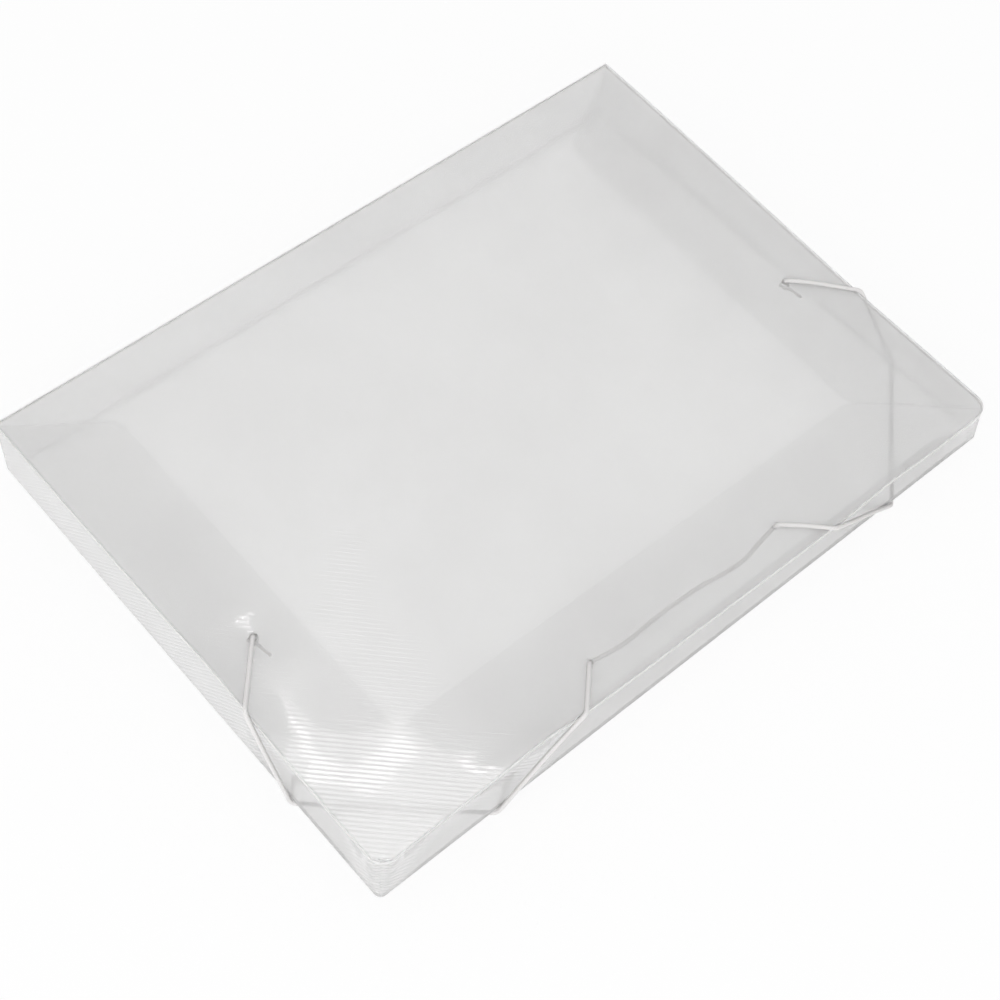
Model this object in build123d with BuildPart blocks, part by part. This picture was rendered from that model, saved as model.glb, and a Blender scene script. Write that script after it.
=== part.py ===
"""Elastic file box: a folded sheet of ribbed, see-through polypropylene held shut by one round elastic.

The box lies closed on its bottom panel. X runs along the spine, +Y points to the spine, +Z is up. The origin is
the middle of the floor that the box stands on. Every panel folds on a living hinge, and each hinge is a thin
strip with a round bead on the fold's axis. The elastic is one cord: it ends in a knot under the cover, comes out
through a hole, goes round a front corner, in again, along under the cover, and round the other corner. It pulls
the cover down at the front, the right corner more than the left one, and the walls and flaps bend with it.
"""

import os
from math import cos, pi, radians, sin, tan

from build123d import *

os.makedirs("parts", exist_ok=True)

# The box, outside, in millimetres
box_length = 335.0
box_width = 245.0
box_height = 33.0
sheet = 0.6

# The folds: the strip's width beside its bead, and the slit before the panel that turns on it
crease_root = 1.0
crease_slit = 0.1

# Air between the cover and the creases under it, and between neighbouring edges of the walls
cover_gap = 0.3
edge_gap = 0.3

# The cover's rounded front corners, and how much larger its twisted sheet is before it is cut to its outline
cover_corner_radius = 7.0
cover_trim = 5.0

# How far the elastic pulls the cover down at its front corners. Along the spine the cover stays up
left_corner_drop = 3.7
right_corner_drop = 12.0

# The inner flaps dip into the box, because the knots and the elastic's inner run lie on them
flap_depth = 43.0
flap_dip = 12.0
flap_corner_radius = 6.0
flap_end_gap = 1.0
flap_spine_cut = 22.0
flap_hip_gap = 0.6

# The elastic and its air to the sheet that it lies on
cord_diameter = 1.8
cord_gap = 0.35
cord_bend = 1.8
hole_diameter = 3.6
hole_lean = 0.9

# The cover's holes, from the side face, the box's middle or the front face
side_hole_from_side = 21.5
side_hole_from_front = 102.5
front_hole_from_middle = 52.0
front_hole_from_front = 15.5

# Where the elastic crosses the box's edges, from the front face, the front hole or the side face
side_crossing_top = 77.5
side_crossing_bottom = 51.5
front_crossing_from_hole = 17.0
front_crossing_bottom = 56.5

# The inner run's points between its holes: from the middle of the box, and from the front face
inner_run_points = (
    (-37.0, 13.4),
    (-15.0, 14.6),
    (7.0, 14.0),
    (20.0, 12.2),
    (31.0, 12.0),
    (41.0, 14.2),
)

# The knot at each end, with the cut tail that sticks out of it
knot_width = 4.8
knot_height = 3.8
knot_rounding = 1.5
tail_length = 7.0

# Levels and faces that follow from these
cord_radius = cord_diameter / 2
cord_line = cord_gap + cord_radius
cord_reach = cord_gap + cord_diameter
base_z = cord_reach
top_z = base_z + box_height
side_x = box_length / 2
front_y = (cord_reach - box_width) / 2
back_y = front_y + box_width
middle_y = (front_y + back_y) / 2
cover_under_z = top_z - sheet

# Axes of the folds, all of them at the sheet's mid-thickness
fold = sheet / 2
fold_start = fold + crease_slit
floor_axis_z = base_z + fold
wall_axis_z = cover_under_z - cover_gap - fold
cover_axis_z = top_z - fold
side_axis_x = side_x - fold
front_axis_y = front_y + fold
spine_axis_y = back_y - fold

# Stretches of sheet between the folds
floor_inset = fold + crease_root
floor_length = box_length - 2 * floor_inset
floor_width = box_width - 2 * floor_inset
wall_foot_z = floor_axis_z + fold_start
cover_back_y = spine_axis_y - fold_start
spine_inner_y = back_y - sheet
dip = radians(flap_dip)

SIDES = (("left", -1), ("right", 1))


def export(part: Part, name: str) -> None:
    """Labels one finished piece and writes it."""
    part.label = name
    export_step(part, f"parts/{name}.step")
    print(name, "volume", round(part.volume, 1))


def drop(x: float, y: float) -> float:
    """How far the cover is pulled down here: nothing at the spine's fold, and evenly more towards the front."""
    ahead = (spine_axis_y - y) / (spine_axis_y - front_y)
    across = (x + side_x) / box_length
    return ahead * (left_corner_drop + across * (right_corner_drop - left_corner_drop))


def pressed(x: float, y: float, level: float) -> Vector:
    """A point that would be at this level under a flat cover, pulled down with the real one."""
    return Vector(x, y, level - drop(x, y))


def directions(start: Vector, end: Vector):
    """Along a wall's top fold, into the box, and down the wall.

    The fold may slope. It runs clockwise round the box, seen from above.
    """
    along = (end - start).normalized()
    inward = along.cross(Vector(0, 0, 1)).normalized()
    return along, inward, along.cross(inward)


def crease(start: Vector, end: Vector, to_panel: Vector) -> Part:
    """A living hinge: a bead on the fold's axis, and a root that meets the panel it belongs to."""
    with BuildPart() as strip:
        with BuildSketch(Plane(origin=start, x_dir=to_panel, z_dir=end - start)):
            Circle(fold)
            with Locations((crease_root / 2, 0)):
                Rectangle(crease_root, sheet)
        extrude(amount=(end - start).length)
    return strip.part


def wall(start: Vector, end: Vector) -> Part:
    """A standing panel, from the slit over its foot's bead to the root of the crease along its top fold."""
    _, inward, down = directions(start, end)
    root = crease_root / down.Z
    face = Plane(origin=(start.X, start.Y, 0), x_dir=Vector(0, 0, 1).cross(inward), z_dir=inward)
    run = face.to_local_coords(end).X
    with BuildPart() as panel:
        with BuildSketch(face):
            with BuildLine():
                Polyline(
                    (0, wall_foot_z),
                    (run, wall_foot_z),
                    (run, end.Z + root),
                    (0, start.Z + root),
                    close=True,
                )
            make_face()
        extrude(amount=fold, both=True)
    return panel.part


def folded_wall(panel_name: str, name: str, ends, foot_ends) -> None:
    """Writes a wall and the creases at its head and its foot, each from the two ends of its fold."""
    _, inward, down = directions(*ends)
    export(wall(*ends), panel_name)
    export(crease(*foot_ends, inward), f"{name}_bottom_crease")
    export(crease(*ends, down), f"{name}_top_crease")


def flap(ends, insets) -> Part:
    """An inner flap on a wall's top fold.

    Each inset is a function: by the distance from the fold, how far the flap ends inside that end of the fold.
    """
    start, end = ends
    start_inset, end_inset = insets
    _, inward, down = directions(start, end)
    hinge = Plane(
        origin=start,
        x_dir=inward * cos(dip) + down * sin(dip),
        z_dir=inward * sin(dip) - down * cos(dip),
    )
    run = (end - start).length
    with BuildPart() as leaf:
        with BuildSketch(hinge.offset(-fold)) as outline:
            with BuildLine():
                Polyline(
                    (fold_start, start_inset(fold_start)),
                    (flap_depth, start_inset(flap_depth)),
                    (flap_depth, run - end_inset(flap_depth)),
                    (fold_start, run - end_inset(fold_start)),
                    close=True,
                )
            make_face()
            fillet(outline.vertices().group_by(Axis.X)[-1], flap_corner_radius)
        extrude(amount=sheet)
    return leaf.part


def cord(points, radii) -> Part:
    """A round cord along straight runs joined by arcs, one radius for each inner point."""
    with BuildPart() as tube:
        with BuildLine() as route:
            FilletPolyline(*points, radius=radii)
        start = Plane(origin=route.line @ 0, z_dir=route.line % 0)
        with BuildSketch(start):
            Circle(cord_radius)
        sweep(path=route.line)
    swept = tube.part.volume / (pi * cord_radius**2)
    print("cord's line", round(route.wire().length, 1), "and volume over section", round(swept, 1))
    return tube.part


def unit(start, end) -> Vector:
    """The direction from one plan point to another."""
    return (Vector(*end) - Vector(*start)).normalized()


# The floor, and the cover with its rounded front corners and four holes
with BuildPart() as bottom_panel:
    with BuildSketch(Plane.XY.offset(base_z)):
        with Locations((0, middle_y)):
            Rectangle(floor_length, floor_width)
    extrude(amount=sheet)
export(bottom_panel.part, "bottom_panel")

side_hole = (side_x - side_hole_from_side, front_y + side_hole_from_front)
front_hole = (front_hole_from_middle, front_y + front_hole_from_front)

with BuildPart() as cover_panel:
    with BuildSketch() as cover_outline:
        with Locations((0, (front_y + cover_back_y) / 2)):
            Rectangle(box_length, cover_back_y - front_y)
        fillet(cover_outline.vertices().group_by(Axis.Y)[0], cover_corner_radius)
        with Locations(*[(side * x, y) for _, side in SIDES for x, y in (side_hole, front_hole)]):
            Circle(hole_diameter / 2, mode=Mode.SUBTRACT)
    extrude(amount=top_z)
    trimmed_x = (-side_x - cover_trim, side_x + cover_trim)
    trimmed_y = (front_y - cover_trim, cover_back_y + cover_trim)
    corners = [[pressed(x, y, cover_under_z) for y in trimmed_y] for x in trimmed_x]
    underside = Face.make_bezier_surface(corners)
    extrude(underside, amount=sheet, dir=(0, 0, 1), mode=Mode.INTERSECT)
export(cover_panel.part, "cover_panel")

# The spine and the front wall, with their creases
spine_ends = [Vector(x, spine_axis_y, cover_axis_z) for x in (-side_x, side_x)]
spine_foot = [Vector(x, spine_axis_y, floor_axis_z) for x in (-floor_length / 2, floor_length / 2)]
folded_wall("spine_panel", "spine", spine_ends, spine_foot)

front_ends = [pressed(x, front_axis_y, wall_axis_z) for x in (side_x, -side_x)]
front_foot = [Vector(x, front_axis_y, floor_axis_z) for x in (floor_length / 2, -floor_length / 2)]
folded_wall("front_wall", "front", front_ends, front_foot)


def hip(distance: float) -> float:
    """How far the hip that two flaps share lies from the corner where their folds meet."""
    return flap_hip_gap + distance * cos(dip)


def spine_cut(distance: float) -> float:
    """How far a side flap ends before the spine. It is cut back towards its free edge to clear the cover."""
    return flap_end_gap + flap_spine_cut * distance / flap_depth


front_corners = [pressed(x, front_axis_y, wall_axis_z) for x in (side_axis_x, -side_axis_x)]
export(flap(front_corners, (hip, hip)), "front_flap")

# Both side walls with their creases and flaps, from back to front on the right and front to back on the left
for side_name, side in SIDES:
    axis_x = side * side_axis_x
    wall_ends = [
        pressed(axis_x, spine_inner_y - edge_gap, wall_axis_z),
        pressed(axis_x, front_y + sheet + edge_gap, wall_axis_z),
    ]
    foot_ends = [Vector(axis_x, middle_y + half, floor_axis_z) for half in (floor_width / 2, -floor_width / 2)]
    flap_ends = [pressed(axis_x, spine_inner_y, wall_axis_z), pressed(axis_x, front_axis_y, wall_axis_z)]
    flap_insets = [spine_cut, hip]
    folded_wall(f"{side_name}_wall", side_name, wall_ends[::side], foot_ends[::side])
    export(flap(flap_ends[::side], flap_insets[::side]), f"{side_name}_flap")

# The elastic: levels of its line over and under a flat cover, and where it leans through a hole
over_z = top_z + cord_line
under_z = cover_under_z - cord_line
hole_z = (over_z + under_z) / 2
floor_cord_z = base_z - cord_line
outer_x = side_x + cord_line
outer_y = front_y - cord_line


def through_hole(hole, crossing):
    """The points over, in and under a hole, for a cord that comes from an edge crossing."""
    lean = unit(hole, crossing) * hole_lean
    above, inside, below = (pressed(*hole, level) for level in (over_z, hole_z, under_z))
    return above + lean, inside, below - lean


under_front_holes = []
for side_name, side in SIDES:
    side_crossing = (side * outer_x, front_y + side_crossing_top)
    front_crossing = (side * (front_hole_from_middle + front_crossing_from_hole), outer_y)
    side_pass = through_hole((side * side_hole[0], side_hole[1]), side_crossing)
    front_pass = through_hole((side * front_hole[0], front_hole[1]), front_crossing)
    loop_points = (
        side_pass[1],
        side_pass[0],
        pressed(*side_crossing, over_z),
        (side * outer_x, front_y + side_crossing_bottom, floor_cord_z),
        (side * (side_x - front_crossing_bottom), outer_y, floor_cord_z),
        pressed(*front_crossing, over_z),
        front_pass[0],
        front_pass[1],
    )
    export(cord(loop_points, [cord_bend] * (len(loop_points) - 2)), f"{side_name}_elastic_loop")
    under_front_holes.append((front_pass[1], front_pass[2]))

    # The knot hangs on the cord below the side hole, and its cut tail points to the front
    down = (side_pass[2] - side_pass[1]).normalized()
    knot_level = cover_under_z - cord_gap - knot_height / 2
    knot_centre = side_pass[1] + down * ((knot_level - hole_z) / down.Z)
    with BuildPart() as end_knot:
        with BuildSketch(Plane(origin=knot_centre)):
            Circle(knot_width / 2)
        extrude(amount=knot_height / 2, both=True)
        fillet(end_knot.edges(), knot_rounding)
        with BuildSketch(Plane(origin=side_pass[1], z_dir=down)):
            Circle(cord_radius)
        extrude(amount=(knot_centre - side_pass[1]).length)
        with BuildSketch(Plane(origin=knot_centre, z_dir=(0, -1, 0))):
            Circle(cord_radius)
        extrude(amount=tail_length)
    export(end_knot.part, f"{side_name}_end_knot")

# The inner run, loose under the cover, with arcs as large as its runs allow
(left_in, left_under), (right_in, right_under) = under_front_holes
inner_points = [left_in, left_under]
inner_points += [pressed(x, front_y + distance, under_z) for x, distance in inner_run_points]
inner_points += [right_under, right_in]


def widest_arc(before: Vector, corner: Vector, after: Vector) -> float:
    """The radius that takes 0.45 of the shorter run beside a corner."""
    turn = radians((corner - before).get_angle(after - corner))
    shorter = min((corner - before).length, (after - corner).length)
    return 0.45 * shorter / tan(turn / 2)


inner_radii = [widest_arc(*inner_points[i - 1 : i + 2]) for i in range(1, len(inner_points) - 1)]
inner_radii[0] = inner_radii[-1] = cord_bend
print("inner run radii", [round(radius, 1) for radius in inner_radii])
export(cord(inner_points, inner_radii), "elastic_inner_run")
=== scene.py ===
# %% [markdown]
# # An elastic file box
#
# The real object is one sheet of ribbed, frosted polypropylene, cut out and folded up into a shallow box,
# and one thin round elastic that holds the lid down at both front corners. The CAD frame already holds every
# panel and every fold in its place, and its joints move them. This lesson dresses that frame. The sheets
# become ribbed and softly waved, the elastic becomes a knitted cord, and plain studio light shows the haze
# of the plastic.

# %% The frame
from functools import partial

import bpy
import numpy as np
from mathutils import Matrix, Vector


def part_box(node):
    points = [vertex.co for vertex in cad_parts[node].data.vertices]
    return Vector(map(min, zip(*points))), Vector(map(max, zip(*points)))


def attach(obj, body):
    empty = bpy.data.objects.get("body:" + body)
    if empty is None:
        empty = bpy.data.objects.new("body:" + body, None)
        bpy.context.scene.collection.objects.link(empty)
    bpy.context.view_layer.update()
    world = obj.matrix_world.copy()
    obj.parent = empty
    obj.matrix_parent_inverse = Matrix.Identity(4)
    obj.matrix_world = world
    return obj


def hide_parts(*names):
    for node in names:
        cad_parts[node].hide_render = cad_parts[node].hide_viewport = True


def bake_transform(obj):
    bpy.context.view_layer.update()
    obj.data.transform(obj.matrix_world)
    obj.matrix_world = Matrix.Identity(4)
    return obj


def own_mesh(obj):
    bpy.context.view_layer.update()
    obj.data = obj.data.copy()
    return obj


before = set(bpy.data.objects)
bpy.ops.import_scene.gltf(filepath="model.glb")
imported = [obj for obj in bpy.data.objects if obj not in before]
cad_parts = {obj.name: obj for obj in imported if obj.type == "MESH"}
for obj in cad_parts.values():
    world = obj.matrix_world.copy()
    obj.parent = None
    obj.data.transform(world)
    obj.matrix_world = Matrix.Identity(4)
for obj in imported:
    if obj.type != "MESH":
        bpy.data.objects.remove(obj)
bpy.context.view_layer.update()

# %% [markdown]
# ## Where the panels are
#
# The panels aren't placed by eye. Each one's box is asked from the frame, in millimetres, because a sheet
# that is six tenths of a millimetre thick is easier to think about that way. The meshes are turned into
# metres when they are made.

# %% Sizes from the frame
MM = 0.001
SIDES = {"left": -1, "right": 1}


def cad_corners(node):
    """The lowest and the highest corner of a CAD node, in millimetres."""
    low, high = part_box(node)
    return np.array(low) / MM, np.array(high) / MM


lid_low, lid_high = cad_corners("cover_panel")
floor_low, floor_high = cad_corners("bottom_panel")
spine_low, spine_high = cad_corners("spine_panel")
half_length = lid_high[0]
front_y, back_y = lid_low[1], spine_high[1]
box_bottom = floor_low[2]
thickness = floor_high[2] - floor_low[2]
fold_half = thickness / 2
lid_top = cad_corners("spine_top_crease")[1][2]
lid_under = lid_top - thickness
lid_middle = (lid_top + lid_under) / 2
print(f"box {2 * half_length:.1f} x {back_y - front_y:.1f} x {lid_top - box_bottom:.1f} mm")
print(f"sheet {thickness:.2f} mm thick")

# %% [markdown]
# ## How the lid gives way
#
# A closed box of this kind is never quite flat. The elastic pulls both front corners down, one harder than
# the other. The CAD lid is one twisted sheet between straight edges. The real one also sags between the
# corners, and its free edge springs up again just beside each crossing. A lattice or a sculpting brush could
# bend the lid, but then the walls, the flaps and the cord would each need the same bend again. So the bend
# is one function of the place in plan, and every piece near the lid asks it how far the lid lies below its
# fold at the spine.


# %% A smooth curve
def eased(at, points):
    """A smooth curve through points: on each stretch a cubic with the right values and slopes at its ends.

    A point's slope is the mean of the slopes on both sides of it, and the nearer neighbour counts more.
    """
    place, value = np.array(points, float).T
    slope = np.gradient(value, place)
    at = np.clip(at, place[0], place[-1])
    i = np.clip(np.searchsorted(place, at) - 1, 0, len(place) - 2)
    run = place[i + 1] - place[i]
    s = (at - place[i]) / run
    ends = (2 * s**3 - 3 * s**2 + 1) * value[i] + (3 * s**2 - 2 * s**3) * value[i + 1]
    return ends + run * ((s**3 - 2 * s**2 + s) * slope[i] + (s**3 - s**2) * slope[i + 1])


# %% How far it gives way
NEAR_CORNER_DROP, FAR_CORNER_DROP = 3.7, 12.0

# Along the front, the left and the right edge: a place on it and the drop there
FRONT_DROP = ((-167.5, NEAR_CORNER_DROP), (-130, 2.9), (-95, 3.2), (-70, 5.2), (-40, 7.3), (0, 8.9))
FRONT_DROP += ((40, 10.8), (75, 11.6), (110, 11.6), (140, 12.2), (167.5, FAR_CORNER_DROP))
LEFT_DROP = ((-121.4, NEAR_CORNER_DROP), (-80, 3.0), (-50, 2.2), (-20, 0.6), (20, 0), (70, 0), (123.6, 0))
RIGHT_DROP = ((-121.4, FAR_CORNER_DROP), (-80, 10.8), (-45, 9.8), (0, 7.0), (60, 3.2), (100, 0.9), (123.6, 0))

# Where the free edge springs up: the middle in plan, the height, the half length along the edge and the reach
# into the lid, and whether the edge runs along Y
EDGE_SPRINGS = (
    ((-167.5, -27), 3.2, (30, 7), True),
    ((-90, -121.4), 3.0, (17, 7), False),
    ((104, -121.4), 2.0, (14, 8), False),
)
HOLE_MIDDLES = ((-146.0, -18.925), (-52.0, -105.925), (52.0, -105.925), (146.0, -18.925))
DIMPLE_DEPTH, DIMPLE_REACH = 1.2, 8.0


def from_side_to_side(x, at_left, at_right):
    """A value that changes evenly from the box's left edge to its right one."""
    right = (x + half_length) / (2 * half_length)
    return (1 - right) * at_left + right * at_right


def forward(y):
    """How far forward a place is: 0 at the spine and 1 at the front edge."""
    return (back_y - y) / (back_y - front_y)


# %% The pressed-down lid
def pressed(x, y):
    """How far the lid lies below its fold: the drops of the front, left and right edge, blended across it.

    The springs at the edge are bell curves along it that die away inwards. The dimple round each hole is a
    bell curve too.
    """
    corners = from_side_to_side(x, NEAR_CORNER_DROP, FAR_CORNER_DROP)
    down = from_side_to_side(x, eased(y, LEFT_DROP), eased(y, RIGHT_DROP))
    down = down + forward(y) * (eased(x, FRONT_DROP) - corners)
    for (x0, y0), height, (half, reach), runs_along_y in EDGE_SPRINGS:
        along, inward = (y - y0, x - x0) if runs_along_y else (x - x0, y - y0)
        down = down - height * np.exp(-((along / half) ** 2) - np.abs(inward) / reach)
    for x0, y0 in HOLE_MIDDLES:
        down = down + DIMPLE_DEPTH * np.exp(-((x - x0) ** 2 + (y - y0) ** 2) / DIMPLE_REACH**2)
    return down


print("pressed down at the far front corner:", round(float(pressed(half_length, front_y)), 1), "mm")

# %% [markdown]
# ## One maker for every ribbed sheet
#
# The sheet is embossed with fine ribs that run at 45 degrees to the box, about 1.9 mm apart. Each rib is a
# flat land, and a shallow groove parts it from the next. A bump map would fake them, but then the mesh
# itself would be smooth, and the highlight at the near corner shows how real they are: the lands mirror the
# lamp and the grooves don't. A plain grid would cut across the ribs and need millions of faces. So the grid
# itself is turned: its rows follow the ribs, three rows to a groove, and its columns cross them with wide
# steps. Each row is clipped where it meets the outline, and the columns beyond that place fall together in
# one point. The inner face is the same grid without ribs, and a rim joins both faces wherever the outer face
# has an open edge, at the holes too.

# %% The ribs' sizes
RIB_PITCH, GROOVE_WIDTH, GROOVE_DEPTH = 1.87, 0.75, 0.07
DIAGONAL = np.sqrt(0.5)
sheets = {}
print("ribs", RIB_PITCH, "mm apart, grooves", GROOVE_WIDTH, "mm wide and", GROOVE_DEPTH, "mm deep")

# %% A mesh from whole arrays
SHARP_ANGLE = np.radians(40)


def inside_out(points, triangles):
    """Whether closed triangles (a, b, c) enclose a negative volume: a sixth of the sum of a . (b x c)."""
    a, b, c = (points[triangles[:, k]] for k in range(3))
    return np.einsum("ij,ij->", a, np.cross(b, c)) < 0


def add_mesh(name, points, triangles):
    """A smooth-shaded mesh object from points in millimetres, with its faces outwards."""
    if inside_out(points, triangles):
        triangles = triangles[:, ::-1]
    mesh = bpy.data.meshes.new(name)
    mesh.vertices.add(len(points))
    mesh.vertices.foreach_set("co", (points * MM).astype(np.float32).ravel())
    mesh.loops.add(triangles.size)
    mesh.loops.foreach_set("vertex_index", triangles.astype(np.int32).ravel())
    mesh.polygons.add(len(triangles))
    mesh.polygons.foreach_set("loop_start", np.arange(0, triangles.size, 3, dtype=np.int32))
    mesh.polygons.foreach_set("use_smooth", np.ones(len(triangles), bool))
    mesh.update(calc_edges=True)
    mesh.set_sharp_from_angle(angle=SHARP_ANGLE)
    obj = bpy.data.objects.new(name, mesh)
    bpy.context.scene.collection.objects.link(obj)
    print(name, len(triangles), "triangles")
    return obj


def used_only(points, triangles):
    """Leaves out the points that no triangle names, and numbers the rest anew."""
    kept, renumbered = np.unique(triangles, return_inverse=True)
    return points[kept], renumbered.reshape(-1, 3)


# %% Rows along the ribs
# A corner that turns further than this gets a row of its own, and no other row comes nearer than the gap
CORNER_TURN, ROW_GAP = 0.35, 0.15
TINY, ROUNDING = 1e-9, 1e-7


def off_groove(across):
    """How far a place across the ribs is from the middle of the nearest groove."""
    return np.abs(across - RIB_PITCH * np.round(across / RIB_PITCH))


def sharp_corners(outline):
    """The places across the ribs where a convex outline turns sharply, and its two outermost ones."""
    across = outline[:, 0]
    before, after = outline - np.roll(outline, 1, axis=0), np.roll(outline, -1, axis=0) - outline
    turn = np.arctan2(before[:, 0] * after[:, 1] - before[:, 1] * after[:, 0], (before * after).sum(1))
    corners = np.concatenate((across[np.abs(turn) > CORNER_TURN], [across.min(), across.max()]))
    return np.unique(np.round(corners, 6))


def rib_rows(outline):
    """Rows at both shoulders and the bottom of each groove, and one through each sharp corner."""
    first, last = outline[:, 0].min(), outline[:, 0].max()
    corners = sharp_corners(outline)
    bottoms = RIB_PITCH * np.arange(np.floor(first / RIB_PITCH), last / RIB_PITCH + 1)
    rows = (bottoms[:, None] + GROOVE_WIDTH / 2 * np.array((-1, 0, 1))).ravel()
    rows = rows[(rows > first) & (rows < last)]
    near = np.abs(rows[:, None] - corners).min(axis=1) < ROW_GAP
    return np.union1d(rows[~near], corners)


def row_ends(outline, rows):
    """For each row, where it enters and leaves a convex outline given as (across, along) pairs.

    A row meets an edge at start + share * (end - start), if that share of the edge lies between 0 and 1.
    An outermost row that rounding has put a hair outside the outline meets none, and its points get no place.
    """
    start, end = outline, np.roll(outline, -1, axis=0)
    run = end[:, 0] - start[:, 0]
    run = np.where(np.abs(run) < TINY, np.nan, run)
    share = (rows[:, None] - start[None, :, 0]) / run
    hit = start[:, 1] + share * (end[:, 1] - start[:, 1])
    hit = np.where((share > -ROUNDING) & (share < 1 + ROUNDING), hit, np.nan)
    return np.nanmin(hit, axis=1), np.nanmax(hit, axis=1)


# %% The grid over an outline
FAR_AWAY = 1e6
END_SLACK, ONE_POINT = 0.12, 1e-6


def rib_grid(outline, columns):
    """A grid of triangles over a convex outline in flat coordinates (u, v).

    Rows run along u - v at equal u + v. Columns that lie beyond a row's end, or closer to it than the slack,
    share the end's point, and so does a whole row that is next to nothing long.
    """
    turned = np.stack((outline[:, 0] + outline[:, 1], outline[:, 0] - outline[:, 1]), axis=1) * DIAGONAL
    rows = rib_rows(turned)
    first, last = (ends[:, None] for ends in row_ends(turned, rows))
    columns = np.concatenate(([-FAR_AWAY], np.sort(columns), [FAR_AWAY]))[None, :]
    along = np.clip(columns, first, last)
    across = np.broadcast_to(rows[:, None], along.shape)
    number = np.arange(along.size).reshape(along.shape)
    number = np.where(columns <= first + END_SLACK, number[:, :1], number)
    number = np.where(columns >= last - END_SLACK, number[:, -1:], number)
    number = np.where(last - first < ONE_POINT, number[:, :1], number)
    a, b, c, d = number[:-1, :-1], number[:-1, 1:], number[1:, 1:], number[1:, :-1]
    triangles = np.concatenate([np.stack(t, axis=-1).reshape(-1, 3) for t in ((a, b, c), (a, c, d))])
    a, b, c = triangles.T
    triangles = triangles[(a != b) & (b != c) & (c != a)]
    return np.stack(((across + along).ravel(), (across - along).ravel()), axis=1) * DIAGONAL, triangles


def punched(flat, triangles, holes, radius):
    """Drops the triangles that lie in a hole, and pushes points in it straight out to its rim."""
    for middle in holes:
        away = flat - middle
        far = np.hypot(*away.T)
        inside = far < radius
        triangles = triangles[~inside[triangles].all(axis=1)]
        flat = middle + away * np.where(inside, radius / np.maximum(far, TINY), 1)[:, None]
    return flat, triangles


# %% Both faces and the rim
def shell(flat, triangles, place):
    """The outer face, the inner face turned round, and two triangles of rim for each open edge.

    The outer face lies a sheet's thickness up, less the groove's depth, which falls evenly from the groove's
    middle to its shoulders.
    """
    u, v = flat.T
    valley = GROOVE_DEPTH * np.clip(1 - off_groove((u + v) * DIAGONAL) / (GROOVE_WIDTH / 2), 0, 1)
    points = np.concatenate((place(u, v, thickness - valley), place(u, v, np.zeros_like(u))))
    count = len(u)
    edges = np.concatenate((triangles[:, [0, 1]], triangles[:, [1, 2]], triangles[:, [2, 0]]))
    forth, back = edges[:, 0] * count + edges[:, 1], edges[:, 1] * count + edges[:, 0]
    s, e = edges[~np.isin(forth, back)].T
    rim = np.concatenate((np.stack((e, s, s + count), 1), np.stack((e, s + count, e + count), 1)))
    return points, np.concatenate((triangles, triangles[:, ::-1] + count, rim))


# %% Crisp lands
SAME_ROW = 1e-4


def sharpen_shoulders(mesh, across):
    """Marks the edges along the grooves' shoulders as sharp, so that smooth shading leaves the lands flat."""
    ends = np.empty(2 * len(mesh.edges), np.int32)
    mesh.edges.foreach_get("vertices", ends)
    start, end = across[ends.reshape(-1, 2)].T
    sharp = np.empty(len(mesh.edges), bool)
    marks = mesh.attributes.get("sharp_edge") or mesh.attributes.new("sharp_edge", "BOOLEAN", "EDGE")
    marks.data.foreach_get("value", sharp)
    sharp |= (np.abs(start - end) < SAME_ROW) & (np.abs(off_groove(start) - GROOVE_WIDTH / 2) < SAME_ROW)
    marks.data.foreach_set("value", sharp)
    print(mesh.name, int(sharp.sum()), "sharp edges")


# %% The sheet itself
HOLE_RADIUS = 1.8


def ribbed_sheet(name, outline, place, columns, holes=()):
    """A closed ribbed sheet over a convex outline in flat coordinates, put in space by place(u, v, height).

    Height runs from 0 at the inner face to the thickness at the outer one.
    """
    flat, triangles = rib_grid(np.array(outline, float), columns)
    flat, triangles = used_only(*punched(flat, triangles, holes, HOLE_RADIUS))
    obj = add_mesh(name, *shell(flat, triangles, place))
    across = (flat[:, 0] + flat[:, 1]) * DIAGONAL
    sharpen_shoulders(obj.data, np.concatenate((across, np.full(len(flat), np.nan))))
    sheets[name] = obj
    return obj


# %% [markdown]
# ## The lid
#
# The lid is the largest sheet and the one that the light plays on. Its front corners are rounded, and the
# elastic goes through four punched holes. The columns are wide over most of the lid and crowd together near
# the holes, where the dimples and the round rims need them.


# %% Rounded outlines
def unit(vectors):
    """The same directions, each one long."""
    return vectors / np.linalg.norm(vectors, axis=-1, keepdims=True)


def rectangle(low, high):
    """The four corners between a low and a high one, in turn."""
    return [(low[0], low[1]), (high[0], low[1]), (high[0], high[1]), (low[0], high[1])]


def rounded(points, radii, steps=10):
    """A convex outline whose corners are cut off by circular arcs, one radius for each corner.

    An arc goes sin(angle) radii on along the edge before it and 1 - cos(angle) radii to the inner side.
    """
    points = np.array(points, float)
    edges = unit(np.roll(points, -1, axis=0) - points)
    made = []
    for corner, into, out, radius in zip(points, np.roll(edges, 1, axis=0), edges, radii):
        if radius == 0:
            made.append(corner[None])
            continue
        turn = np.arccos(np.clip(into @ out, -1, 1))
        start = corner - into * radius * np.tan(turn / 2)
        side = np.array([-into[1], into[0]]) * np.sign(into[0] * out[1] - into[1] * out[0])
        angle = np.linspace(0, turn, steps)[:, None]
        made.append(start + radius * (np.sin(angle) * into + (1 - np.cos(angle)) * side))
    return np.concatenate(made)


# %% Places for the columns
COLUMN_REACH = 420
CROWD = np.array((-9, -5.5, -3, -2.2, -1.6, -1, -0.35, 0.35, 1, 1.6, 2.2, 3, 5.5, 9))
CROWD_REACH, CROWD_GAP = 10, 0.3


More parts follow.
